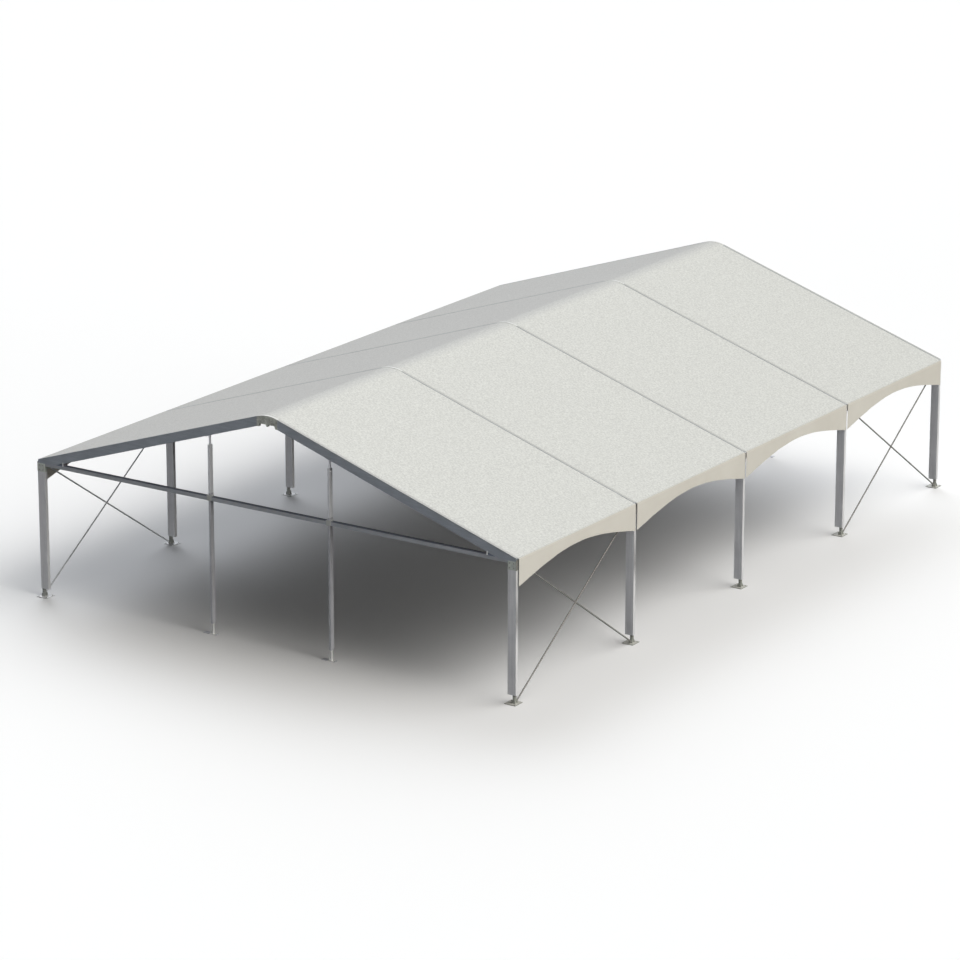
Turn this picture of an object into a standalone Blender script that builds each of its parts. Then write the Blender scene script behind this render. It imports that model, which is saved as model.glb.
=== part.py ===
# Clear-span marquee tent: five aluminium frames carrying four roof sheets with arched valances.
# Metres, Z up, X across the span, Y along the tent, the front gable faces -Y.
import math

import bmesh
import bpy
from mathutils import Matrix, Vector

# overall layout
BAY = 4.572
FRAMES = 5
HALF_LENGTH = BAY * (FRAMES - 1) / 2
EAVE_X = 6.333
EAVE_LINE_Z = 3.156
PITCH = math.radians(18.06)
TAN = math.tan(PITCH)
COS = math.cos(PITCH)
SIN = math.sin(PITCH)
GAP = 0.0004

# roof sheets: cloth, and the bead on the side edges that slides in the rafter's channel
SHEET_T = 0.004
BEAD_T = 0.0128
BEAD_V = 0.0056
EAVE_R = 0.025
RIDGE_R = 0.800
VALANCE_LOW = 2.552
VALANCE_RISE = 0.360
BAY_COLUMNS = 12

# box extrusion for legs and rafters, with a channel along the rafter's upper edges
BEAM_HALF = 0.040
LEG_X0 = 6.102
LEG_X1 = 6.302
LEG_MID = (LEG_X0 + LEG_X1) / 2
LEG_FOOT = 0.185
LEG_TOP = 2.905
KNEE_TOP = 3.092
RAFTER_END = 6.295
CROWN_HALF = 0.270
RAIL_RISE = 0.003
RAFTER_HALF = 0.031
FLANGE_V = 0.005
CHANNEL_HALF = 0.019
CHANNEL_V = 0.019
BEAM_V = 0.206
CAVITY_V = (0.027, 0.198)
WALL = 0.008
GROOVE_W = 0.008
GROOVE_D = 0.006
GROOVE_IN = 0.032

# steel brackets and purlins
BRACKET_HALF = 0.044
CROWN_BODY = 0.034
SPIGOT_CLEAR = 0.001
RIDGE_PURLIN_HALF = 0.040
RIDGE_PURLIN_Z = (5.030, 5.120)
EAVE_PURLIN_X = (6.150, 6.210)
EAVE_PURLIN_Z = (2.930, 3.030)
EAR_X = (6.2856, 6.298)
CAP_X = (6.3006, 6.309)

# feet
PLATE_MID = 6.220
PLATE_HALF = 0.140
PLATE_T = 0.012
STEM_X = (6.228, 6.274)
LUG_X = (6.2380, 6.2504)

# gable posts and tie
POST_X = 1.575
POST_W = 0.050
POST_D = 0.110
POST_IN = 0.036
POST_FOOT_R = 0.024
POST_TOP_R = 0.025
POST_LOW = 0.250
POST_HIGH = 4.280
POST_PLATE = (-0.240, 0.105)
TIE_Z = (3.040, 3.145)
TIE_HALF = 0.030
TIE_SLOT = 0.024
TIE_DEEP = 0.040
HANGER_X = 5.550
SLEEVE_X = 0.052
SLEEVE_Y = (-0.036, 0.074)

# wind bracing
BRACE_X = 6.268
BRACE_R = 0.017
BRACE_LOW = (0.059, 0.0555)
BRACE_HIGH = (0.085, 3.070)
BRACED = (1, -1, 0, 1, -1)

# how a flat outline stands: across the tent, along it, or square to the slope
PLANES = {
    "XY": (0.0, 0.0, 0.0),
    "XZ": (math.pi / 2, 0.0, 0.0),
    "YZ": (math.pi / 2, 0.0, math.pi / 2),
    "SLOPE": (0.0, math.pi / 2 + PITCH, 0.0),
}


def top_z(x):
    """Height of the sheet's outer face on the straight slope."""
    return EAVE_LINE_Z + TAN * (EAVE_X - abs(x))


def slope_z(x, depth):
    """Height of a line that lies square-on below the slope by a depth."""
    return top_z(x) - depth / COS


def frame_y(i):
    return -HALF_LENGTH + i * BAY


def clear_file():
    for ob in list(bpy.data.objects):
        bpy.data.objects.remove(ob, do_unlink=True)


def group(name):
    col = bpy.data.collections.new(name)
    bpy.context.scene.collection.children.link(col)
    return col


def paint(name, look):
    colour, metallic, rough = look
    mat = bpy.data.materials.new(name)
    mat.use_nodes = True
    bsdf = mat.node_tree.nodes["Principled BSDF"]
    bsdf.inputs["Base Color"].default_value = (*colour, 1.0)
    bsdf.inputs["Metallic"].default_value = metallic
    bsdf.inputs["Roughness"].default_value = rough
    return mat


def from_bmesh(name, bm, col):
    mesh = bpy.data.meshes.new(name)
    bm.to_mesh(mesh)
    bm.free()
    ob = bpy.data.objects.new(name, mesh)
    col.objects.link(ob)
    return ob


def box(name, x, y, z, col):
    """Block between two limits on each axis."""
    bm = bmesh.new()
    size = (x[1] - x[0], y[1] - y[0], z[1] - z[0], 1.0)
    bmesh.ops.create_cube(bm, size=1.0, matrix=Matrix.Diagonal(size))
    ob = from_bmesh(name, bm, col)
    ob.location = ((x[0] + x[1]) / 2, (y[0] + y[1]) / 2, (z[0] + z[1]) / 2)
    return ob


def bar(name, radius, start, end, col, sides=16):
    """Round bar between two points."""
    start, end = Vector(start), Vector(end)
    bm = bmesh.new()
    bmesh.ops.create_cone(bm, cap_ends=True, segments=sides, radius1=radius, radius2=radius,
                          depth=(end - start).length)
    ob = from_bmesh(name, bm, col)
    ob.location = (start + end) / 2
    ob.rotation_euler = (end - start).to_track_quat("Z", "Y").to_euler()
    return ob


def settle(mesh, flatten=False):
    """Weld loose caps and seams, join coplanar faces if asked, and turn every face outwards."""
    bm = bmesh.new()
    bm.from_mesh(mesh)
    bmesh.ops.remove_doubles(bm, verts=bm.verts, dist=0.00001)
    if flatten:
        bmesh.ops.dissolve_limit(bm, angle_limit=math.radians(0.1), verts=bm.verts, edges=bm.edges)
    bmesh.ops.recalc_face_normals(bm, faces=bm.faces)
    bm.to_mesh(mesh)
    bm.free()


def evaluated_mesh(ob):
    bpy.context.view_layer.update()
    graph = bpy.context.evaluated_depsgraph_get()
    return bpy.data.meshes.new_from_object(ob.evaluated_get(graph))


def to_mesh(curve_ob, col):
    """Real mesh in place of a curve object."""
    mesh = evaluated_mesh(curve_ob)
    settle(mesh)
    name, matrix = curve_ob.name, curve_ob.matrix_world.copy()
    bpy.data.objects.remove(curve_ob, do_unlink=True)
    ob = bpy.data.objects.new(name, mesh)
    ob.matrix_world = matrix
    col.objects.link(ob)
    return ob


def slab(name, outlines, half, plane, centre, col):
    """Flat outline with thickness; a second outline is a hole through it."""
    curve = bpy.data.curves.new(name, "CURVE")
    curve.dimensions = "2D"
    curve.fill_mode = "BOTH"
    curve.extrude = half
    for outline in outlines:
        spline = curve.splines.new("POLY")
        spline.points.add(len(outline) - 1)
        for point, (u, v) in zip(spline.points, outline):
            point.co = (u, v, 0.0, 1.0)
        spline.use_cyclic_u = True
    ob = bpy.data.objects.new(name, curve)
    ob.location = centre
    ob.rotation_euler = PLANES[plane]
    col.objects.link(ob)
    return to_mesh(ob, col)


def rod(name, start, end, radius, col):
    """Straight tube as a curve with a round bevel and filled caps."""
    curve = bpy.data.curves.new(name, "CURVE")
    curve.dimensions = "3D"
    curve.bevel_depth = radius
    curve.bevel_resolution = 3
    curve.use_fill_caps = True
    spline = curve.splines.new("POLY")
    spline.points.add(1)
    for point, place in zip(spline.points, (start, end)):
        point.co = (*place, 1.0)
    ob = bpy.data.objects.new(name, curve)
    col.objects.link(ob)
    return to_mesh(ob, col)


def combine(base, tools, operation="UNION"):
    """Boolean each tool into the base, keep the result as its mesh and clear the tools away."""
    for tool in tools:
        mod = base.modifiers.new(tool.name, "BOOLEAN")
        mod.operation = operation
        mod.solver = "EXACT"
        mod.object = tool
        tool.display_type = "WIRE"
        tool.hide_render = True
    mesh = evaluated_mesh(base)
    base.modifiers.clear()
    base.data = mesh
    settle(mesh, flatten=True)
    for tool in tools:
        bpy.data.objects.remove(tool, do_unlink=True)
    return base


def grounded(ob):
    """Mesh of a finished shape with its place in the frame baked in, ready to be shared by copies."""
    bpy.context.view_layer.update()
    mesh = ob.data
    mesh.transform(ob.matrix_world)
    mesh.update()
    bpy.data.objects.remove(ob, do_unlink=True)
    return mesh


def place(name, mesh, look, col, root, location=(0.0, 0.0, 0.0), turn=0.0):
    """One piece of the tent: a copy that may share its mesh, with a material of its own."""
    ob = bpy.data.objects.new(name, mesh)
    if not mesh.materials:
        mesh.materials.append(None)
    ob.material_slots[0].link = "OBJECT"
    ob.material_slots[0].material = paint(name, look)
    ob.location = location
    ob.rotation_euler = (0.0, 0.0, turn)
    ob.parent = root
    col.objects.link(ob)
    return ob


def grooved(points, low, high, half):
    """Side of the extrusion between two depths, with a shallow groove near each end."""
    for start in (low + GROOVE_IN, high - GROOVE_IN - GROOVE_W):
        points += [(start, half), (start, half - GROOVE_D),
                   (start + GROOVE_W, half - GROOVE_D), (start + GROOVE_W, half)]
    points.append((high, half))
    return points + [(u, -w) for u, w in reversed(points)]


def rectangle(u, v):
    return [(u[0], v[0]), (u[1], v[0]), (u[1], v[1]), (u[0], v[1])]


def make_leg(tools):
    half = LEG_X1 - LEG_MID
    outline = grooved([(-half, BEAM_HALF)], -half, half, BEAM_HALF)
    hole = rectangle((-half + WALL, half - WALL), (-BEAM_HALF + WALL + 0.002, BEAM_HALF - WALL - 0.002))
    middle = (LEG_MID, 0.0, (LEG_FOOT + LEG_TOP) / 2)
    return grounded(slab("leg", [outline, hole], (LEG_TOP - LEG_FOOT) / 2, "XY", middle, tools))


def make_rafter(tools):
    """Slimmer extrusion on the slope with side channels for the beads, cut level over the knee."""
    side = [(-RAIL_RISE, RAFTER_HALF), (FLANGE_V, RAFTER_HALF), (FLANGE_V, CHANNEL_HALF),
            (CHANNEL_V, CHANNEL_HALF), (CHANNEL_V, RAFTER_HALF)]
    outline = grooved(side, CHANNEL_V, BEAM_V, RAFTER_HALF)
    hole = rectangle(CAVITY_V, (-RAFTER_HALF + WALL, RAFTER_HALF - WALL))
    x0, x1 = 0.10, 6.70
    middle = (x0 + x1) / 2
    beam = slab("rafter", [outline, hole], (x1 - x0) / 2 / COS, "SLOPE", (middle, 0.0, top_z(middle)), tools)
    cutters = [
        box("head", (-0.50, CROWN_HALF), (-0.2, 0.2), (4.4, 5.8), tools),
        box("level", (5.60, 6.95), (-0.2, 0.2), (2.4, KNEE_TOP + GAP), tools),
        box("end", (RAFTER_END, 7.10), (-0.2, 0.2), (2.3, 3.8), tools),
    ]
    return grounded(combine(beam, cutters, "DIFFERENCE"))


def make_foot(lug, tools):
    """Ground plate, two upright cheeks with a pin, a stem that carries the leg, and a lug if a brace ends here."""
    plate = box("foot", (PLATE_MID - PLATE_HALF, PLATE_MID + PLATE_HALF), (-PLATE_HALF, PLATE_HALF),
                (0.0, PLATE_T), tools)
    cheek = [(6.196, 0.006), (6.296, 0.006), (6.284, 0.070), (6.264, 0.096), (6.228, 0.096), (6.208, 0.070)]
    parts = [
        slab("cheeks", [cheek], BEAM_HALF + 0.008, "XZ", (0.0, 0.0, 0.0), tools),
        box("stem", STEM_X, (-BEAM_HALF, BEAM_HALF), (0.050, LEG_FOOT - GAP), tools),
        box("spigot", STEM_X, (-BEAM_HALF + WALL + 0.003, BEAM_HALF - WALL - 0.003), (0.140, 0.320), tools),
        bar("pin", 0.009, (6.240, -0.060, 0.066), (6.240, 0.060, 0.066), tools, 12),
    ]
    if lug:
        outline = [(0.030, 0.006), (0.092, 0.006), (0.092, 0.052), (0.066, 0.078), (0.030, 0.078)]
        parts.append(slab("lug", [[(lug * u, v) for u, v in outline]], (LUG_X[1] - LUG_X[0]) / 2, "YZ",
                          ((LUG_X[0] + LUG_X[1]) / 2, 0.0, 0.0), tools))
    foot = combine(plate, parts)
    gap = box("gap", (6.150, STEM_X[0]), (-BEAM_HALF, BEAM_HALF), (PLATE_T, 0.200), tools)
    other = box("gap", (STEM_X[1], 6.350), (-BEAM_HALF, BEAM_HALF), (PLATE_T, 0.200), tools)
    return grounded(combine(foot, [gap, other], "DIFFERENCE"))


def make_knee(ear, tools):
    """Knee bracket of one frame: block on the leg, spigots into leg and rafter, end cap, an ear for a brace."""
    block = box("knee", (LEG_X0 + 0.002, LEG_X1), (-BRACKET_HALF, BRACKET_HALF), (LEG_TOP + GAP, KNEE_TOP), tools)
    low, high = CAVITY_V[0] + SPIGOT_CLEAR, CAVITY_V[1] - SPIGOT_CLEAR
    arm = [(6.235, KNEE_TOP - 0.02), (6.235, slope_z(6.235, low)), (5.680, slope_z(5.680, low)),
           (5.740, slope_z(5.740, high)), (5.840, slope_z(5.840, high)), (6.060, KNEE_TOP + 0.012),
           (6.120, KNEE_TOP + 0.012), (6.120, KNEE_TOP - 0.02)]
    clear = WALL + SPIGOT_CLEAR
    inner = RAFTER_HALF - clear
    down = BEAM_HALF - clear - 0.002
    parts = [
        slab("arm", [arm], inner, "XZ", (0.0, 0.0, 0.0), tools),
        box("down", (LEG_X0 + clear, LEG_X1 - clear), (-down, down), (LEG_TOP - 0.22, LEG_TOP + 0.05), tools),
        box("cap", CAP_X, (-BEAM_HALF, BEAM_HALF), (LEG_TOP + GAP, 3.124), tools),
    ]
    if ear:
        parts.append(box("ear", EAR_X, sorted((ear * 0.0412, ear * 0.110)), (3.030, 3.126), tools))
    return combine(block, parts)


def ridge_arc(depth, half):
    """Corners of the rounded ridge and a bit of both slopes, a depth below the sheet's outer face."""
    centre_z = top_z(0) - RIDGE_R / COS
    radius = RIDGE_R - depth
    arc = [(radius * math.sin(PITCH * k / 3), centre_z + radius * math.cos(PITCH * k / 3))
           for k in (3, 2, 1, 0, -1, -2, -3)]
    return [(half, slope_z(half, depth))] + arc + [(-half, slope_z(half, depth))]


def ridge_band(top, bottom, half):
    return ridge_arc(top, half) + ridge_arc(bottom, half)[::-1]


def make_crown(tools):
    """Crown bracket of one frame, with the rafter's channel carried on over the ridge."""
    end = CROWN_HALF - 0.0006
    low = slope_z(end, BEAM_V)
    outline = [(end - 0.004, low + 0.002), (end, low + 0.008)] + ridge_arc(CHANNEL_V, end)
    outline += [(-end, low + 0.008), (-end + 0.004, low + 0.002), (-0.215, low + 0.006), (-0.192, 4.988)]
    outline += [(-0.036, 4.988), (-0.014, 4.943), (0.014, 4.943), (0.036, 4.988), (0.192, 4.988), (0.215, low + 0.006)]
    origin = (0.0, 0.0, 0.0)
    body = slab("crown", [outline], CROWN_BODY, "XZ", origin, tools)
    parts = [
        slab("rail", [ridge_band(-RAIL_RISE, FLANGE_V, end)], RAFTER_HALF, "XZ", origin, tools),
        slab("web", [ridge_band(0.0, CHANNEL_V + 0.010, end)], CHANNEL_HALF - 0.001, "XZ", origin, tools),
    ]
    deep, high = CAVITY_V[1] - SPIGOT_CLEAR, CAVITY_V[0] + SPIGOT_CLEAR
    for side in (-1, 1):
        arm = [(side * 0.200, slope_z(0.200, high + 0.008)), (side * 0.580, slope_z(0.580, high)),
               (side * 0.520, slope_z(0.520, deep)), (side * 0.200, slope_z(0.200, deep - 0.016))]
        parts.append(slab("arm", [arm], RAFTER_HALF - WALL - SPIGOT_CLEAR, "XZ", origin, tools))
    crown = combine(body, parts)
    holes = [bar("hole", 0.013, (x, -0.1, z), (x, 0.1, z), tools, 10)
             for x, z in ((-0.120, 5.080), (0.120, 5.080), (-0.205, 5.035), (0.205, 5.035))]
    return combine(crown, holes, "DIFFERENCE")


def along_tent(name, units, x, z, tools):
    """A purlin that carries a bracket at every frame."""
    line = box(name, x, (-HALF_LENGTH, HALF_LENGTH), z, tools)
    copies = []
    for i, unit in enumerate(units):
        ob = bpy.data.objects.new("unit", unit)
        ob.location = (0.0, frame_y(i), 0.0)
        tools.objects.link(ob)
        copies.append(ob)
    return grounded(combine(line, copies))


def valance_z(t):
    """Height of the valance's lower edge; t runs from -1 to 1 across a bay."""
    bow = 0.78 * (1 - t * t) + 0.22 * 0.5 * (1 + math.cos(math.pi * t))
    return VALANCE_LOW + VALANCE_RISE * bow


def half_path():
    """Ridge-to-hem stations of one side: outer point, inward direction, share of the valance, bead or none."""
    stations = []
    centre_z = top_z(0) - RIDGE_R / COS
    for k in range(4):
        a = PITCH * k / 3
        stations.append((RIDGE_R * math.sin(a), centre_z + RIDGE_R * math.cos(a), -math.sin(a), -math.cos(a), 0.0, 1))
    centre_x = EAVE_X - EAVE_R
    fold_z = top_z(centre_x) - EAVE_R / COS
    middle = (RIDGE_R * SIN + centre_x + EAVE_R * SIN) / 2
    stations.append((middle, top_z(middle), -SIN, -COS, 0.0, 1))
    for k in range(5):
        a = (math.pi / 2 - PITCH) * (1 - k / 4)
        stations.append((centre_x + EAVE_R * math.cos(a), fold_z + EAVE_R * math.sin(a),
                         -math.cos(a), -math.sin(a), 0.0, 1 if k == 0 else 0))
    stations.append((EAVE_X, fold_z, -1.0, 0.0, 1.0, 0))
    return stations


def edge_columns():
    """Side edge of a sheet: distance from the frame on the roof and on the valance, depth, thickness share."""
    thin = SHEET_T / BEAD_T
    return [(0.0196, 0.0340, BEAD_V, 1.0), (0.0320, 0.0460, BEAD_V, 1.0),
            (0.0360, 0.0500, BEAD_V, thin), (0.0440, 0.0580, 0.0, thin)]


def make_sheet(tools):
    """One bay of cloth from hem to hem over the ridge, its side edges thickened to a bead in the channels."""
    side = half_path()
    path = list(reversed(side)) + [(-x, z, -nx, nz, f, r) for x, z, nx, nz, f, r in side[1:]]
    edge = edge_columns()
    thin = SHEET_T / BEAD_T
    columns = [(-BAY / 2 + a, -BAY / 2 + b, v, w) for a, b, v, w in edge]
    columns += [(-BAY / 2 + BAY * k / BAY_COLUMNS,) * 2 + (0.0, thin) for k in range(1, BAY_COLUMNS)]
    columns += [(BAY / 2 - a, BAY / 2 - b, v, w) for a, b, v, w in reversed(edge)]
    rows, width = len(path), len(columns)
    bm = bmesh.new()
    bmesh.ops.create_grid(bm, x_segments=width - 1, y_segments=rows - 1, size=1.0)
    half = BAY / 2 - edge[0][1]
    weights = {}
    for vert in bm.verts:
        j = round((vert.co.x + 1) / 2 * (width - 1))
        i = round((vert.co.y + 1) / 2 * (rows - 1))
        x, z, nx, nz, fall, roof = path[i]
        y_roof, y_low, depth, share = columns[j]
        y = y_roof if roof else y_low
        depth = depth if roof else 0.0
        z = z + (valance_z(y / half) - z) * fall
        vert.co = (x + nx * depth, y, z + nz * depth)
        weights.setdefault(share if roof else thin, []).append(vert.index)
    sheet = from_bmesh("sheet", bm, tools)
    thickness = sheet.vertex_groups.new(name="thickness")
    for share, indices in weights.items():
        thickness.add(indices, share, "REPLACE")
    shell = sheet.modifiers.new("cloth", "SOLIDIFY")
    shell.thickness = BEAD_T
    shell.offset = -1.0
    shell.use_even_offset = True
    shell.vertex_group = thickness.name
    mesh = evaluated_mesh(sheet)
    bpy.data.objects.remove(sheet, do_unlink=True)
    settle(mesh)
    return mesh


def make_gable_post(side, tools):
    """Foot plate with a rod, the wide upright, and a thin tube up to a seat under the rafter."""
    plate = box("post", POST_PLATE, (-0.055, 0.055), (0.0, 0.010), tools)
    gusset = [(-0.012, 0.005), (-0.012, 0.125), (-0.024, 0.125), (-0.074, 0.030), (-0.074, 0.005)]
    under = [slope_z(POST_X + side * u, BEAM_V) for u in (-0.060, 0.060)]
    seat = [(-0.060, under[0] - 0.010), (0.060, under[1] - 0.010), (0.060, under[1] - GAP), (-0.060, under[0] - GAP)]
    top = slope_z(POST_X, BEAM_V) - 0.005
    knob_z = POST_HIGH - 0.060
    parts = [
        bar("foot", POST_FOOT_R, (0, 0, 0.004), (0, 0, POST_LOW + 0.05), tools),
        box("upright", (-POST_W / 2, POST_W / 2), (-POST_D / 2, POST_D / 2), (POST_LOW, POST_HIGH), tools),
        bar("head", POST_TOP_R, (0, 0, POST_HIGH - 0.05), (0, 0, top - 0.008), tools),
        slab("seat", [seat], 0.044, "XZ", (0.0, -0.023, 0.0), tools),
        slab("gusset", [gusset], 0.006, "XZ", (0.0, 0.0, 0.0), tools),
        bar("knob", 0.013, (0, 0, knob_z), (0.055, 0, knob_z), tools, 10),
        box("neck", (-0.020, 0.020), (-0.020, 0.020), (top - 0.030, top - 0.004), tools),
    ]
    mesh = grounded(combine(plate, parts))
    mesh.shade_smooth()
    mesh.set_sharp_from_angle(angle=math.radians(35))
    return mesh


def make_gable_tie(tools):
    """Level bar between the knees, with sleeves around the posts and hangers to the rafters."""
    end = LEG_X0 + 0.002 - GAP
    under = BEAM_V + 0.0006
    lift = KNEE_TOP - 0.0002
    x_level = EAVE_X - (lift + under / COS - EAVE_LINE_Z) / TAN
    x_top = EAVE_X - (TIE_Z[1] + under / COS - EAVE_LINE_Z) / TAN
    right = [(end, TIE_Z[0]), (end, lift), (x_level, lift), (x_top, TIE_Z[1])]
    outline = right + [(-x, z) for x, z in reversed(right)]
    origin = (0.0, 0.0, 0.0)
    tie = slab("tie", [outline], TIE_HALF, "XZ", origin, tools)
    parts, slots = [], []
    for side in (-1, 1):
        x = side * POST_X
        parts.append(box("sleeve", (x - SLEEVE_X, x + SLEEVE_X), SLEEVE_Y, (TIE_Z[0] - 0.006, TIE_Z[1] + 0.006), tools))
        a, b = side * (HANGER_X - 0.030), side * (HANGER_X + 0.030)
        hanger = [(a, TIE_Z[1] - 0.02), (b, TIE_Z[1] - 0.02), (b, slope_z(b, under)), (a, slope_z(a, under))]
        parts.append(slab("hanger", [hanger], TIE_HALF + 0.004, "XZ", origin, tools))
        slots.append(box("way", (x - POST_W / 2 - 0.0005, x + POST_W / 2 + 0.0005),
                         (POST_IN - POST_D / 2 - 0.0005, POST_IN + POST_D / 2 + 0.0005), (2.8, 3.4), tools))
    stops = [-x_top + 0.02, -HANGER_X - 0.04, -HANGER_X + 0.04, -POST_X - SLEEVE_X, -POST_X + SLEEVE_X]
    stops += [-s for s in reversed(stops)]
    for a, b in zip(stops[::2], stops[1::2]):
        slots.append(box("slot", (a, b), (-TIE_SLOT, TIE_SLOT), (TIE_Z[1] - TIE_DEEP, TIE_Z[1] + 0.05), tools))
    return grounded(combine(combine(tie, parts), slots, "DIFFERENCE"))


def make_brace(tools):
    """Two rods that cross in one bay, fixed to each other in the middle."""
    half = BAY / 2
    ends = [((0.0, -s * (half - BRACE_LOW[0]), BRACE_LOW[1]), (0.0, s * (half - BRACE_HIGH[0]), BRACE_HIGH[1]))
            for s in (-1, 1)]
    first, second = [rod("brace", a, b, r, tools) for (a, b), r in zip(ends, (BRACE_R, BRACE_R - 0.001))]
    mesh = grounded(combine(first, [second]))
    mesh.shade_smooth()
    mesh.set_sharp_from_angle(angle=math.radians(50))
    return mesh


def build():
    clear_file()
    col = group("marquee_tent")
    tools = group("marquee_tent_cutters")
    root = bpy.data.objects.new("marquee_tent_origin", None)
    col.objects.link(root)
    alu = ((0.72, 0.73, 0.75), 1.0, 0.38)
    steel = ((0.34, 0.35, 0.31), 1.0, 0.55)
    cloth = ((0.86, 0.86, 0.82), 0.0, 0.60)
    brace_steel = ((0.33, 0.32, 0.30), 1.0, 0.50)
    back = math.pi

    frame_parts = (("leg", make_leg(tools), alu), ("rafter", make_rafter(tools), alu))
    feet = {lug: make_foot(lug, tools) for lug in (-1, 0, 1)}
    for i in range(FRAMES):
        for label, mesh, look in frame_parts:
            place("%s_right_%d" % (label, i + 1), mesh, look, col, root, (0.0, frame_y(i), 0.0))
            place("%s_left_%d" % (label, i + 1), mesh, look, col, root, (0.0, frame_y(i), 0.0), back)
        place("base_plate_right_%d" % (i + 1), feet[BRACED[i]], steel, col, root, (0.0, frame_y(i), 0.0))
        place("base_plate_left_%d" % (i + 1), feet[-BRACED[i]], steel, col, root, (0.0, frame_y(i), 0.0), back)

    knees = {ear: grounded(make_knee(ear, tools)) for ear in (-1, 0, 1)}
    right = along_tent("eave", [knees[way] for way in BRACED], EAVE_PURLIN_X, EAVE_PURLIN_Z, tools)
    place("eave_line_right", right, steel, col, root)
    place("eave_line_left", right, steel, col, root, turn=back)
    purlin_x = (-RIDGE_PURLIN_HALF, RIDGE_PURLIN_HALF)
    crown = grounded(make_crown(tools))
    ridge = along_tent("ridge", [crown] * FRAMES, purlin_x, RIDGE_PURLIN_Z, tools)
    place("ridge_line", ridge, steel, col, root)

    sheet = make_sheet(tools)
    for i in range(FRAMES - 1):
        place("roof_sheet_%d" % (i + 1), sheet, cloth, col, root, (0.0, frame_y(i) + BAY / 2, 0.0))

    posts = {side: make_gable_post(side, tools) for side in (-1, 1)}
    tie = make_gable_tie(tools)
    brace = make_brace(tools)
    for word, y, turn, way in (("front", -1, 0.0, 1), ("back", 1, back, -1)):
        place("gable_tie_%s" % word, tie, alu, col, root, (0.0, y * HALF_LENGTH, 0.0), turn)
        for hand, side in (("left", -1), ("right", 1)):
            place("gable_post_%s_%s" % (word, hand), posts[side * way], alu, col, root,
                  (side * POST_X, y * (HALF_LENGTH - POST_IN), 0.0), turn)
            place("cross_brace_%s_%s" % (word, hand), brace, brace_steel, col, root,
                  (side * BRACE_X, y * (HALF_LENGTH - BAY / 2), 0.0))


build()
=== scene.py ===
import math

import bmesh
import bpy
from mathutils import Matrix, Vector


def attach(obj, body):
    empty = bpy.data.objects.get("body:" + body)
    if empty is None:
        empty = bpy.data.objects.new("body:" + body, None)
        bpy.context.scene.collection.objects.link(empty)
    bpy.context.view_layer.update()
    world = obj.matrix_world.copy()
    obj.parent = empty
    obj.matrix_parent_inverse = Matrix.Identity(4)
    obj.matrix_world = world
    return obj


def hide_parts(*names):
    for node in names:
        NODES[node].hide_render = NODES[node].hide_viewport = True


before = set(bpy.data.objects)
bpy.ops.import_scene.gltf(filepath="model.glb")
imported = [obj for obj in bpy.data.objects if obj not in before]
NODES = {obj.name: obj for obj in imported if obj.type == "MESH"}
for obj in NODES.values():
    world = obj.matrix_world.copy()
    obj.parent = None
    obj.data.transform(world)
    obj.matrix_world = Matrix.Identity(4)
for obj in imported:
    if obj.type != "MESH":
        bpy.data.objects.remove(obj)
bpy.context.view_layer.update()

# layout shared with the part, in metres
BAY = 4.572
FRAMES = 5
HALF_LENGTH = BAY * (FRAMES - 1) / 2
FRAME_Y = [-HALF_LENGTH + i * BAY for i in range(FRAMES)]
EAVE_X = 6.333
EAVE_LINE_Z = 3.156
PITCH = math.radians(18.06)
TAN, COS, SIN = math.tan(PITCH), math.cos(PITCH), math.sin(PITCH)
EAVE_R = 0.025
RIDGE_R = 0.800
LEG_FACE = 6.302
KNEE_FACE = 6.3003

# cloth: valance, thickness, beads along the sides, hems
VALANCE_LOW = 2.552
VALANCE_RISE = 0.360
CLOTH_T = 0.0035
BEAD_T = 0.0126
BEAD_V = 0.0057
EDGE_IN = 0.0196
HEM = 0.040
HEM_T = 0.0056
SAG, SAG_FROM = 0.005, 0.3
RIPPLE, RIPPLE_WAVES, RIPPLE_CALM = 0.0022, (7.1, 11.7), 0.5
PARABOLA, COSINE = 0.78, 0.22
RIDGE_STEPS, SLOPE_STEPS, FOLD_STEPS = 9, 24, 8
# rows of the valance, as shares of its height from the fold to the tip, denser at the hem
FALL_SHARES = (0.12, 0.25, 0.38, 0.51, 0.64, 0.76, 0.86, 0.92, 0.925, 0.96, 1.0)
# columns at the side of a bay: distance from the frame on the roof and on the valance, depth, thickness
SIDE_COLUMNS = (
    (EDGE_IN, 0.0340, BEAD_V, BEAD_T * 0.6),
    (0.0220, 0.0360, BEAD_V, BEAD_T),
    (0.0300, 0.0440, BEAD_V, BEAD_T),
    (0.0320, 0.0460, BEAD_V, BEAD_T * 0.6),
    (0.0350, 0.0500, BEAD_V, CLOTH_T),
    (0.0390, 0.0550, BEAD_V * 0.6, CLOTH_T),
    (0.0440, 0.0600, 0.0, CLOTH_T),
    (0.0550, 0.0700, 0.0, CLOTH_T),
)
INNER_IN, INNER_STEPS = 0.066, 60

# marks and painted shade on the cloth: the fold's painted shade starts at FOLD_X and ends at FOLD_LOW, and
# HANG_OUT farther out the cloth hangs; stitches by their distance from the tip, the weld from the side;
# stitches and threads in radians per metre
FOLD_X = EAVE_X - 0.040
FOLD_LOW = 3.139
HANG_OUT = 0.031
STITCH_ROWS = ((HEM - 0.006, HEM - 0.003), (0.005, 0.008))
WELD = (0.042, 0.046)
DASHES, WEAVE = 900.0, 3000.0

# spans for the tones on the metal: along the tent for the knees' painted light and shade, up the legs for
# their outer faces
TENT_SPAN, LEG_SPAN = 20.0, 3.0

X_AXIS, Y_AXIS, Z_AXIS = (1.0, 0.0, 0.0), (0.0, 1.0, 0.0), (0.0, 0.0, 1.0)
BLACK = (0.0, 0.0, 0.0, 1.0)

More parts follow.
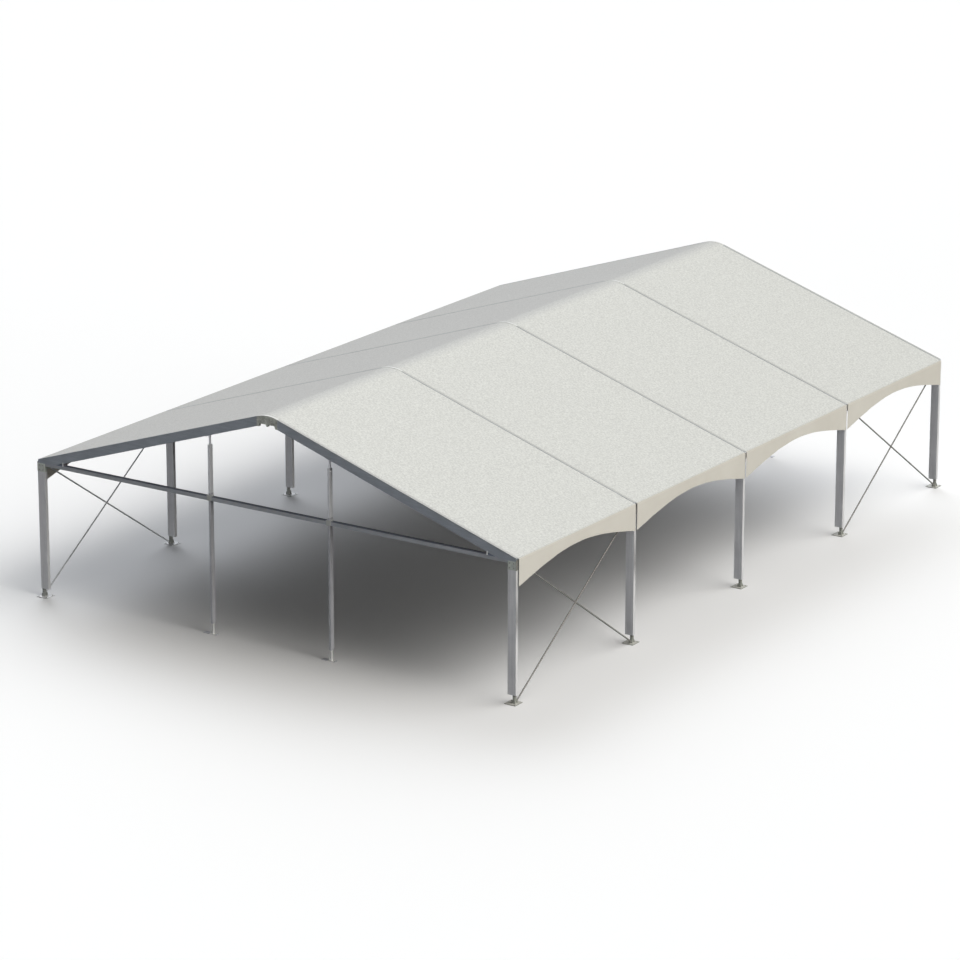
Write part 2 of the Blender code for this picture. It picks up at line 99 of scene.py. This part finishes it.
# camera, at the photograph's viewing angle
cam = bpy.data.cameras.new("camera")
cam.sensor_width = 36.0
cam.lens = 162.979
cam.clip_end = 500.0
cam_ob = bpy.data.objects.new("camera", cam)
bpy.context.scene.collection.objects.link(cam_ob)
cam_ob.location = (52.761, -79.686, 30.820)
cam_ob.rotation_euler = (math.radians(72.9037), math.radians(0.0108), math.radians(33.8788))
bpy.context.scene.camera = cam_ob
bpy.context.scene.view_settings.view_transform = "Standard"


class Nodes:
    """Small helper for writing node trees."""

    def __init__(self, tree):
        self.tree = tree
        tree.nodes.clear()

    def put(self, value, socket):
        if isinstance(value, bpy.types.NodeSocket):
            self.tree.links.new(value, socket)
        else:
            socket.default_value = value

    def add(self, kind, inputs=None, **settings):
        node = self.tree.nodes.new(kind)
        for key, value in settings.items():
            setattr(node, key, value)
        for key, value in (inputs or {}).items():
            self.put(value, node.inputs[key])
        return node

    def math(self, op, a, b=0.0, clamp=False):
        return self.add("ShaderNodeMath", {0: a, 1: b}, operation=op, use_clamp=clamp).outputs[0]

    def dot(self, vector, axis):
        node = self.add("ShaderNodeVectorMath", {0: vector, 1: axis}, operation="DOT_PRODUCT")
        return node.outputs["Value"]

    def noise(self, vector, scale, detail, rough):
        settings = {"Vector": vector, "Scale": scale, "Detail": detail, "Roughness": rough}
        return self.add("ShaderNodeTexNoise", settings).outputs["Fac"]

    def stretch(self, vector, scale):
        return self.add("ShaderNodeMapping", {"Vector": vector, "Scale": scale}).outputs["Vector"]

    def band(self, value, low, high):
        """1 between two limits, 0 outside."""
        above, below = self.math("GREATER_THAN", value, low), self.math("LESS_THAN", value, high)
        return self.math("MULTIPLY", above, below)

    def ramp(self, fac, *stops):
        node = self.add("ShaderNodeValToRGB", {"Fac": fac})
        elements = node.color_ramp.elements
        while len(elements) < len(stops):
            elements.new(0.5)
        for element, (place, colour) in zip(elements, stops):
            element.position = place
            element.color = rgba(colour)
        return node.outputs["Color"]

    def mix(self, fac, a, b, mode="MIX"):
        node = self.add("ShaderNodeMix", None, data_type="RGBA", blend_type=mode)
        for key, value in (("Factor", fac), ("A", a), ("B", b)):
            self.put(value, [s for s in node.inputs if s.name == key and s.enabled][0])
        return [s for s in node.outputs if s.enabled][0]


def rgba(colour):
    return (*colour, 1.0)


def grey(value):
    return (value, value, value)


def cloth_material(name):
    """Coated cloth: pale and finely mottled on the roof, with painted shade left of the ridge, warmer on the
    valance, partly its own tint and partly painted warm light, with painted shade at the ridge and the fold,
    with stitched hems and a weld beside each bead."""
    mat = bpy.data.materials.new(name)
    mat.use_nodes = True
    n = Nodes(mat.node_tree)
    coord = n.add("ShaderNodeTexCoord")
    place = coord.outputs["Object"]
    x, z = n.dot(place, X_AXIS), n.dot(place, Z_AXIS)
    cut = n.add("ShaderNodeSeparateXYZ", {0: coord.outputs["UV"]}).outputs
    across, down = cut["X"], cut["Y"]
    grain = n.noise(place, scale=24.0, detail=4.0, rough=0.66)
    broad = n.noise(place, scale=0.9, detail=3.0, rough=0.55)

    aside = n.math("ABSOLUTE", x)
    out = n.math("SUBTRACT", aside, FOLD_X)
    upright = n.math("GREATER_THAN", out, HANG_OUT)
    # painted shade: the slope left of the ridge is coloured darker
    left = n.math("SUBTRACT", 0.5, n.math("MULTIPLY", x, 2.0), clamp=True)
    roof = n.ramp(grain, (0.38, (0.516, 0.519, 0.492)), (0.62, (0.667, 0.673, 0.638)))
    roof = n.mix(left, roof, rgba((0.862, 0.845, 0.852)), "MULTIPLY")
    # the valance: its own smoother tint, made warmer partly as painted warm light from the side
    hang = n.ramp(broad, (0.30, (0.733, 0.703, 0.628)), (0.70, (0.789, 0.764, 0.690)))
    colour = n.mix(upright, roof, hang)

    # painted shade at the fold and along the ridge, mixed towards black
    high = n.math("GREATER_THAN", z, FOLD_LOW)
    fold = n.math("MULTIPLY", n.math("MULTIPLY", out, 30.0, clamp=True), high)
    ridge = n.math("SUBTRACT", 1.0, n.math("MULTIPLY", aside, 3.5), clamp=True)
    painted_shade = n.math("ADD", n.math("MULTIPLY", fold, 0.18), n.math("MULTIPLY", ridge, 0.10))
    colour = n.mix(painted_shade, colour, BLACK)

    hem = n.band(down, -1.0, HEM)
    dash = n.math("GREATER_THAN", n.math("SINE", n.math("MULTIPLY", across, DASHES)), -0.3)
    seams = n.math("ADD", *(n.band(down, *row) for row in STITCH_ROWS))
    stitch = n.math("MULTIPLY", dash, seams, clamp=True)
    weld = n.band(across, *WELD)
    colour = n.mix(n.math("MULTIPLY", hem, 0.5), colour, rgba((0.78, 0.75, 0.67)))
    colour = n.mix(n.math("MULTIPLY", stitch, 0.6), colour, rgba((0.42, 0.41, 0.37)))
    colour = n.mix(n.math("MULTIPLY", weld, 0.25), colour, rgba((0.48, 0.48, 0.45)))

    threads = [n.math("SINE", n.math("MULTIPLY", along, WEAVE)) for along in (across, down)]
    weave = n.math("MULTIPLY", *threads)
    height = n.math("ADD", grain, n.math("MULTIPLY", weave, 0.04))
    marks = n.math("ADD", stitch, weld, clamp=True)
    height = n.math("SUBTRACT", height, n.math("MULTIPLY", marks, 0.3))
    bump = n.add("ShaderNodeBump", {"Strength": 0.30, "Distance": 0.010, "Height": height})
    rough = n.math("ADD", n.math("MULTIPLY", grain, 0.14), 0.50)
    shader = n.add("ShaderNodeBsdfPrincipled", {"Base Color": colour, "Roughness": rough,
                                                "Normal": bump.outputs[0], "Specular IOR Level": 0.3})
    n.add("ShaderNodeOutputMaterial", {0: shader.outputs[0]})
    return mat


def metal_material(name, low, high, along, rough=0.45, metallic=0.12, patch=2.2, top=None, outer=None,
                   grime=0.0, bands=(), leg_face_tones=()):
    """Drawn or galvanised metal: streaks along the piece, soft patches, brighter edges, worn and with a
    painted highlight. top is a colour painted on the faces that look up, painted light on some pieces and
    painted shade on others; outer a distance from the middle with the tones painted as light and shade on
    what lies outside it, over TENT_SPAN along the tent; leg_face_tones the tones of the legs' outer faces,
    over LEG_SPAN from the ground up, strongest at the front. grime is painted shade that darkens whatever
    leans upwards. bands are (x low, x high, z low, z high, colour) on both sides."""
    mat = bpy.data.materials.new(name)
    mat.use_nodes = True
    n = Nodes(mat.node_tree)
    place = n.add("ShaderNodeTexCoord").outputs["Object"]
    x, y, z = (n.dot(place, axis) for axis in (X_AXIS, Y_AXIS, Z_AXIS))
    aside = n.math("ABSOLUTE", x)
    normal = n.add("ShaderNodeNewGeometry").outputs["True Normal"]
    facing_up = n.dot(normal, Z_AXIS)
    soft = n.add("ShaderNodeBevel", {"Radius": 0.004}, samples=4).outputs[0]

    streak = n.noise(n.stretch(place, along), scale=1.0, detail=3.0, rough=0.6)
    patches = n.noise(place, scale=patch, detail=3.0, rough=0.55)
    blend = n.math("ADD", n.math("MULTIPLY", streak, 0.55), n.math("MULTIPLY", patches, 0.45))
    colour = n.ramp(blend, (0.34, low), (0.66, high))
    # painted light and shade: faces that look up take the top colour
    if top:
        level = n.math("GREATER_THAN", facing_up, 0.8)
        colour = n.mix(level, colour, rgba(top))
        metallic = n.math("MULTIPLY", n.math("SUBTRACT", 1.0, level), metallic)
    # painted light and shade: outside start, the tones run along the tent, dark at the front and light at
    # the back
    if outer:
        start, stops = outer
        fade = n.ramp(n.math("ADD", n.math("MULTIPLY", y, 1 / TENT_SPAN), 0.5), *stops)
        colour = n.mix(n.math("GREATER_THAN", aside, start), colour, fade)
    # tones multiplied onto the legs' outer faces by height, strongest at the front
    if leg_face_tones:
        face = n.math("GREATER_THAN", aside, LEG_FACE - 0.001)
        near = n.math("MULTIPLY", n.math("SUBTRACT", 0.5, y), 0.25, clamp=True)
        tone = n.ramp(n.math("MULTIPLY", z, 1 / LEG_SPAN), *leg_face_tones)
        colour = n.mix(n.math("MULTIPLY", face, near), colour, tone, "MULTIPLY")
    for x0, x1, z0, z1, tone in bands:
        inside = n.math("MULTIPLY", n.band(aside, x0, x1), n.band(z, z0, z1))
        colour = n.mix(inside, colour, rgba(tone))
    # painted shade: the more a face leans upwards, the darker its colour
    if grime:
        lean = n.math("MAXIMUM", facing_up, 0.0)
        colour = n.mix(n.math("MULTIPLY", lean, grime), colour, BLACK)

    # brighter edges: wear with a painted highlight
    edge = n.math("SUBTRACT", 1.0, n.dot(soft, normal), clamp=True)
    edge = n.math("MULTIPLY", edge, 3.0, clamp=True)
    bright = tuple(min(1.0, value * 1.4) for value in high)
    colour = n.mix(n.math("MULTIPLY", edge, patches), colour, rgba(bright))
    roughness = n.math("ADD", n.math("MULTIPLY", patches, 0.25), rough - 0.12)
    shader = n.add("ShaderNodeBsdfPrincipled", {"Base Color": colour, "Metallic": metallic,
                                                "Roughness": roughness, "Normal": soft})
    n.add("ShaderNodeOutputMaterial", {0: shader.outputs[0]})
    return mat


# streaks: few along a piece, many across it
UPRIGHT, ACROSS = (24.0, 24.0, 1.2), (1.2, 24.0, 24.0)
ANYWAY, FINE, FINEST = (9.0,) * 3, (30.0,) * 3, (40.0,) * 3
# painted shade for the tie's slot and beside its hanger
TIE_PAINTED_SHADE = (0.19, 0.20, 0.24)

# the legs' outer faces are darker from about 1.4 m to 2.9 m up, darkest near 1.8 m, most at the front
leg_look = metal_material(
    "leg_aluminium", (0.83, 0.835, 0.85), (0.98, 0.98, 0.99), UPRIGHT,
    leg_face_tones=((0.0, grey(1.0)), (0.46, grey(0.96)), (0.60, grey(0.44)), (0.78, grey(0.73)),
             (0.96, (0.88, 0.88, 0.86))))
# the rafters' faces that look up take a colour of their own, painted for the light that falls on them
rafter_look = metal_material(
    "rafter_aluminium", (0.40, 0.44, 0.485), (0.52, 0.56, 0.615), ACROSS, top=(0.44, 0.44, 0.42))
# painted shade: dark tops for the slot, and bands along the top in the outer and the middle stretch, on
# the hanger's shaded side and in the shadow gap at the outer end; then the post bracket
tie_look = metal_material(
    "tie_aluminium", (0.435, 0.455, 0.48), (0.57, 0.59, 0.625), ACROSS, top=(0.20, 0.21, 0.25),
    bands=((1.65, 5.60, 3.124, 3.146, TIE_PAINTED_SHADE),
           (0.0, 1.50, 3.124, 3.146, TIE_PAINTED_SHADE),
           (5.50, 5.59, 3.146, 3.30, (0.18, 0.17, 0.18)),
           (5.59, 5.86, 3.115, 3.30, (0.22, 0.25, 0.33)),
           (1.515, 1.635, 3.00, 3.20, (0.62, 0.63, 0.60))))
# foot, then the thin tube above the tie
post_look = metal_material(
    "post_aluminium", (0.52, 0.52, 0.55), (0.71, 0.71, 0.75), UPRIGHT,
    bands=((1.50, 1.65, 0.0, 0.245, (0.88, 0.88, 0.85)),
           (1.50, 1.65, 3.20, 4.70, (0.93, 0.94, 0.97))))
# the plates' faces that look up carry a painted reflection of the sky
base_look = metal_material(
    "base_steel", (0.25, 0.26, 0.23), (0.39, 0.40, 0.36), ANYWAY, rough=0.50, metallic=0.1, patch=14.0,
    top=(0.59, 0.585, 0.54))
# a paler copy with painted light for the plates on the left; the band is the ground plate's edge, painted
# light
base_painted_light = metal_material(
    "base_steel_painted_light", (0.28, 0.29, 0.27), (0.44, 0.45, 0.43), ANYWAY, rough=0.50, metallic=0.1, patch=14.0,
    top=(0.78, 0.78, 0.77), bands=((0.0, 9.0, -0.01, 0.0121, grey(0.80)),))
# the knees' outer faces carry painted light and shade, dark at the front frame and light towards the back
knee_look = metal_material(
    "knee_steel", (0.60, 0.64, 0.59), (0.80, 0.84, 0.77), ANYWAY, rough=0.55, metallic=0.1, patch=14.0,
    outer=(KNEE_FACE, ((0.05, (0.255, 0.255, 0.230)), (0.27, (0.42, 0.41, 0.38)),
                       (0.50, (0.66, 0.65, 0.61)), (0.73, (0.98, 0.97, 0.95)))))
# the crowns' faces that look up take a colour of their own, painted for the light that falls on them
crown_look = metal_material(
    "crown_steel", (0.38, 0.39, 0.35), (0.88, 0.90, 0.82), ANYWAY, rough=0.55, metallic=0.1, patch=22.0,
    top=(0.67, 0.67, 0.65))
# painted shade on whatever leans upwards
brace_look = metal_material(
    "brace_steel", (0.30, 0.29, 0.27), (0.43, 0.42, 0.39), FINE, rough=0.5, metallic=0.1, grime=0.64)
# a lighter copy with painted light for the braces on the left
brace_painted_light = metal_material(
    "brace_steel_painted_light", (0.86, 0.87, 0.88), (0.96, 0.97, 0.98), FINE, rough=0.5, metallic=0.1, grime=0.42)
bolt_look = metal_material(
    "bolt_steel", (0.34, 0.34, 0.32), (0.55, 0.55, 0.52), FINEST, rough=0.4, metallic=0.6, patch=30.0)

# looks by the start of a node's name; where two lines fit a name, the later one counts
LOOKS = (
    ("leg", leg_look),
    ("rafter", rafter_look),
    ("gable_tie", tie_look),
    ("gable_post", post_look),
    ("cross_brace", brace_look),
    ("cross_brace_front_left", brace_painted_light),
    ("cross_brace_back_left", brace_painted_light),
    ("base_plate", base_look),
    ("base_plate_left", base_painted_light),
    ("eave_line", knee_look),
    ("ridge_line", crown_look),
)
for node, ob in NODES.items():
    for word, look in LOOKS:
        if node.startswith(word):
            for slot in ob.material_slots:
                slot.material = look


def new_object(name, bm):
    """An object with the mesh of bm, which is freed."""
    mesh = bpy.data.meshes.new(name)
    bm.to_mesh(mesh)
    bm.free()
    ob = bpy.data.objects.new(name, mesh)
    bpy.context.scene.collection.objects.link(ob)
    return ob


def top_z(x):
    """Height of the cloth's outer face on the slope."""
    return EAVE_LINE_Z + TAN * (EAVE_X - abs(x))


def valance_z(t):
    """Lower edge of the valance, t from -1 at one side of the bay to 1 at the other."""
    bow = PARABOLA * (1 - t * t) + COSINE * 0.5 * (1 + math.cos(math.pi * t))
    return VALANCE_LOW + VALANCE_RISE * bow


def half_path():
    """Rows from the ridge to the tip: x, z, inward direction, share of the valance, 1 on the roof."""
    rows = []
    centre_z = top_z(0) - RIDGE_R / COS
    for k in range(RIDGE_STEPS + 1):
        a = PITCH * k / RIDGE_STEPS
        sine, cosine = math.sin(a), math.cos(a)
        rows.append((RIDGE_R * sine, centre_z + RIDGE_R * cosine, -sine, -cosine, 0.0, 1))
    centre_x = EAVE_X - EAVE_R
    fold_z = top_z(centre_x) - EAVE_R / COS
    x0, x1 = RIDGE_R * SIN, centre_x + EAVE_R * SIN
    for k in range(1, SLOPE_STEPS):
        x = x0 + (x1 - x0) * k / SLOPE_STEPS
        rows.append((x, top_z(x), -SIN, -COS, 0.0, 1))
    for k in range(FOLD_STEPS + 1):
        a = (math.pi / 2 - PITCH) * (1 - k / FOLD_STEPS)
        sine, cosine = math.sin(a), math.cos(a)
        rows.append((centre_x + EAVE_R * cosine, fold_z + EAVE_R * sine, -cosine, -sine, 0.0, int(k == 0)))
    return rows + [(EAVE_X, fold_z, -1.0, 0.0, share, 0) for share in FALL_SHARES]


def bay_columns():
    """Columns across a bay: y on the roof, y on the valance, depth, thickness."""
    inner = BAY / 2 - INNER_IN
    columns = [(-BAY / 2 + a, -BAY / 2 + b, v, t) for a, b, v, t in SIDE_COLUMNS]
    for k in range(1, INNER_STEPS):
        y = -inner + 2 * inner * k / INNER_STEPS
        columns.append((y, y, 0.0, CLOTH_T))
    return columns + [(BAY / 2 - a, BAY / 2 - b, v, t) for a, b, v, t in reversed(SIDE_COLUMNS)]


def thicken(ob, name, thick, mat):
    """Make a solid of the sheet, inwards, with the thickness that thick gives for its vertices."""
    group = ob.vertex_groups.new(name="thickness")
    for t, indices in thick.items():
        group.add(indices, t / BEAD_T, "REPLACE")
    shell = ob.modifiers.new("cloth", "SOLIDIFY")
    shell.thickness = BEAD_T
    shell.offset = -1.0
    shell.use_even_offset = True
    shell.vertex_group = group.name
    bpy.context.view_layer.update()
    solid = bpy.data.meshes.new_from_object(ob.evaluated_get(bpy.context.evaluated_depsgraph_get()))
    ob.modifiers.clear()
    ob.vertex_groups.clear()
    ob.data = solid
    solid.name = name
    solid.shade_smooth()
    solid.set_sharp_from_angle(angle=math.radians(40))
    solid.materials.clear()
    solid.materials.append(mat)


def make_roof(name, y_mid, mat):
    """One bay of cloth with its beads and hems; returns it with its cut length and its flat area."""
    side = half_path()
    path = list(reversed(side)) + [(-x, z, -nx, nz, f, r) for x, z, nx, nz, f, r in side[1:]]
    columns = bay_columns()
    rows, width = len(path), len(columns)
    half = columns[-1][1]
    bm = bmesh.new()
    bmesh.ops.create_grid(bm, x_segments=width - 1, y_segments=rows - 1, size=1.0)
    cut = bm.loops.layers.uv.new("cut")
    places, thick = {}, {}
    for vert in bm.verts:
        j = round((vert.co.x + 1) / 2 * (width - 1))
        i = round((vert.co.y + 1) / 2 * (rows - 1))
        x, z, nx, nz, fall, roof = path[i]
        y_roof, y_low, depth, t = columns[j]
        y = y_roof if roof else y_low
        if not roof:
            depth, t = 0.0, CLOTH_T
        low = valance_z(y / half)
        side_x = math.copysign(1.0, x)
        ripple = 0.0
        if fall:
            z = z + (low - z) * fall
            calm = min(1.0, (half - abs(y)) / RIPPLE_CALM)
            wave = math.sin(RIPPLE_WAVES[0] * (y + y_mid) + side_x) + math.sin(RIPPLE_WAVES[1] * (y + y_mid))
            ripple = RIPPLE * fall * calm * wave
            if z - low < HEM:
                t = HEM_T
        elif roof and abs(x) > SAG_FROM:
            depth += SAG * max(0.0, 1 - (y / half) ** 2) * math.sin(math.pi * abs(x) / EAVE_X)
        vert.co = (x + nx * depth + side_x * ripple, y_mid + y, z + nz * depth)
        from_tip = z - low if fall else 1.0 + abs(EAVE_X - abs(x))
        places[vert.index] = (half - abs(y), from_tip)
        thick.setdefault(round(t, 5), []).append(vert.index)
    for face in bm.faces:
        for loop in face.loops:
            loop[cut].uv = places[loop.vert.index]
    area = sum(face.calc_area() for face in bm.faces)
    ob = new_object(name, bm)
    thicken(ob, name, thick, mat)
    tips = [(x, z if f == 0 else VALANCE_LOW) for x, z, _, _, f, _ in path if f in (0.0, 1.0)]
    length = sum(math.dist(a, b) for a, b in zip(tips, tips[1:]))
    return ob, length, area


cloth_look = cloth_material("roof_cloth")
for i in range(FRAMES - 1):
    node = "roof_sheet_%d" % (i + 1)
    y_mid = -HALF_LENGTH + (i + 0.5) * BAY
    roof, cut_length, cut_area = make_roof("roof_cloth_%d" % (i + 1), y_mid, cloth_look)
    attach(roof, "root")
    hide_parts(node)


def cone(bm, matrix, r0, r1, height, sides):
    bmesh.ops.create_cone(bm, cap_ends=True, segments=sides, radius1=r0, radius2=r1, depth=height,
                          matrix=matrix)


def add_bolt(bm, centre, way, radius, height):
    """Round washer, hexagon head and the head's chamfer, one on the other, with the axis along way."""
    turn = Vector(way).to_track_quat("Z", "X").to_matrix().to_4x4()
    shoulder = height * 0.8
    for low, high, r0, r1, sides in ((-0.001, 0.0025, radius * 1.45, radius * 1.45, 20),
                                     (0.002, shoulder, radius, radius, 6),
                                     (shoulder - 0.0002, height, radius, radius * 0.82, 6)):
        middle = Matrix.Translation(Vector(centre) + Vector(way) * (low + high) / 2)
        cone(bm, middle @ turn, r0, r1, high - low, sides)


def add_fasteners(name, bm, mat):
    ob = new_object(name, bm)
    ob.data.materials.append(mat)
    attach(ob, "root")


# bolt heads: x and z on both faces of every crown and knee, x and y on every ground plate
CROWN_BOLTS = ((-0.070, 5.060), (0.070, 5.060), (-0.165, 5.030), (0.165, 5.030))
KNEE_BOLTS = ((6.150, 2.950), (6.250, 2.950), (6.150, 3.050), (6.250, 3.050))
BASE_BOLTS = ((6.115, 0.105), (6.325, 0.105))
CROWN_HALF, KNEE_HALF, PLATE_T = 0.034, 0.044, 0.012
crown, knee, base = [], [], []
for y in FRAME_Y:
    for s in (-1, 1):
        outward = (0.0, float(s), 0.0)
        crown += [((x, y + s * CROWN_HALF, z), outward) for x, z in CROWN_BOLTS]
        for side in (-1, 1):
            knee += [((side * x, y + s * KNEE_HALF, z), outward) for x, z in KNEE_BOLTS]
            base += [((side * x, y + s * off, PLATE_T), Z_AXIS) for x, off in BASE_BOLTS]
for name, places, slot, radius, height in (
        ("crown_bolts", crown, "ridge_line", 0.011, 0.010),
        ("knee_bolts", knee, "eave_line_right", 0.011, 0.010),
        ("base_bolts", base, "base_plate_right_1", 0.013, 0.012)):
    bm = bmesh.new()
    for centre, way in places:
        add_bolt(bm, centre, way, radius, height)
    add_fasteners(name, bm, bolt_look)

# upright bolts with a nut that hold the outer ends of both ties: height, radius, length, sides
CLIP_X, CLIP_OUT = 5.588, 0.0345
CLIP_ROD = (3.168, 0.011, 0.080, 16)
CLIP_NUT = (3.134, 0.018, 0.016, 6)
bm = bmesh.new()
for y in (-HALF_LENGTH - CLIP_OUT, HALF_LENGTH + CLIP_OUT):
    for x in (-CLIP_X, CLIP_X):
        for z, radius, height, sides in (CLIP_ROD, CLIP_NUT):
            cone(bm, Matrix.Translation((x, y, z)), radius, radius, height, sides)
add_fasteners("hanger_clips", bm, leg_look)

# plain pale floor
FLOOR_HALF, FLOOR_Z = 400, -0.002
floor_mesh = bpy.data.meshes.new("floor")
corners = [(-FLOOR_HALF, -FLOOR_HALF, 0), (FLOOR_HALF, -FLOOR_HALF, 0),
           (FLOOR_HALF, FLOOR_HALF, 0), (-FLOOR_HALF, FLOOR_HALF, 0)]
floor_mesh.from_pydata(corners, [], [(0, 1, 2, 3)])
floor = bpy.data.objects.new("floor", floor_mesh)
floor.location.z = FLOOR_Z
bpy.context.scene.collection.objects.link(floor)
floor_mat = bpy.data.materials.new("floor")
floor_mat.use_nodes = True
paint = floor_mat.node_tree.nodes["Principled BSDF"].inputs
paint["Base Color"].default_value = (0.95, 0.95, 0.95, 1.0)
paint["Roughness"].default_value = 1.0
paint["Specular IOR Level"].default_value = 0.0
floor_mesh.materials.append(floor_mat)
floor.visible_diffuse = False
floor.visible_glossy = False

# soft studio light: a warm right side, a cooler back on the left, hardly any from below, and a narrow low
# lobe on the faces that look to the front; a lobe is its axis and its colour
LOBE_POWER = 20.0
LOBES = (
    ((1.0, 0.0, 0.0), (5.70, 5.59, 5.37)),
    ((0.766, 0.0, 0.643), (3.07, 3.01, 2.89)),
    ((0.500, 0.0, 0.866), (3.25, 3.19, 3.06)),
    ((0.542, 0.542, 0.643), grey(2.61)),
    ((0.354, 0.354, 0.866), grey(0.96)),
    ((-0.542, 0.542, 0.643), (4.81, 5.00, 5.27)),
    ((-0.641, 0.641, 0.423), (1.20, 1.25, 1.32)),
)
FRONT_AXIS, FRONT_POWER, FRONT_COLOUR = (0.10, -0.994, -0.05), 60.0, (12.80, 13.00, 13.45)
BELOW = (0.010, 0.010, 0.011)
world = bpy.data.worlds.new("studio")
bpy.context.scene.world = world
world.use_nodes = True
w = Nodes(world.node_tree)
direction = w.add("ShaderNodeTexCoord").outputs["Generated"]


def lobe(axis, power):
    return w.math("POWER", w.math("MAXIMUM", w.dot(direction, axis), 0.0), power)


above = w.math("GREATER_THAN", w.dot(direction, Z_AXIS), 0.0)
total = w.mix(above, rgba(BELOW), BLACK)
for axis, colour in LOBES:
    share = w.math("MULTIPLY", lobe(axis, LOBE_POWER), above)
    total = w.mix(1.0, total, w.mix(share, BLACK, rgba(colour)), "ADD")
total = w.mix(1.0, total, w.mix(lobe(FRONT_AXIS, FRONT_POWER), BLACK, rgba(FRONT_COLOUR)), "ADD")
background = w.add("ShaderNodeBackground", {"Color": total, "Strength": 1.0})
w.add("ShaderNodeOutputWorld", {0: background.outputs[0]})
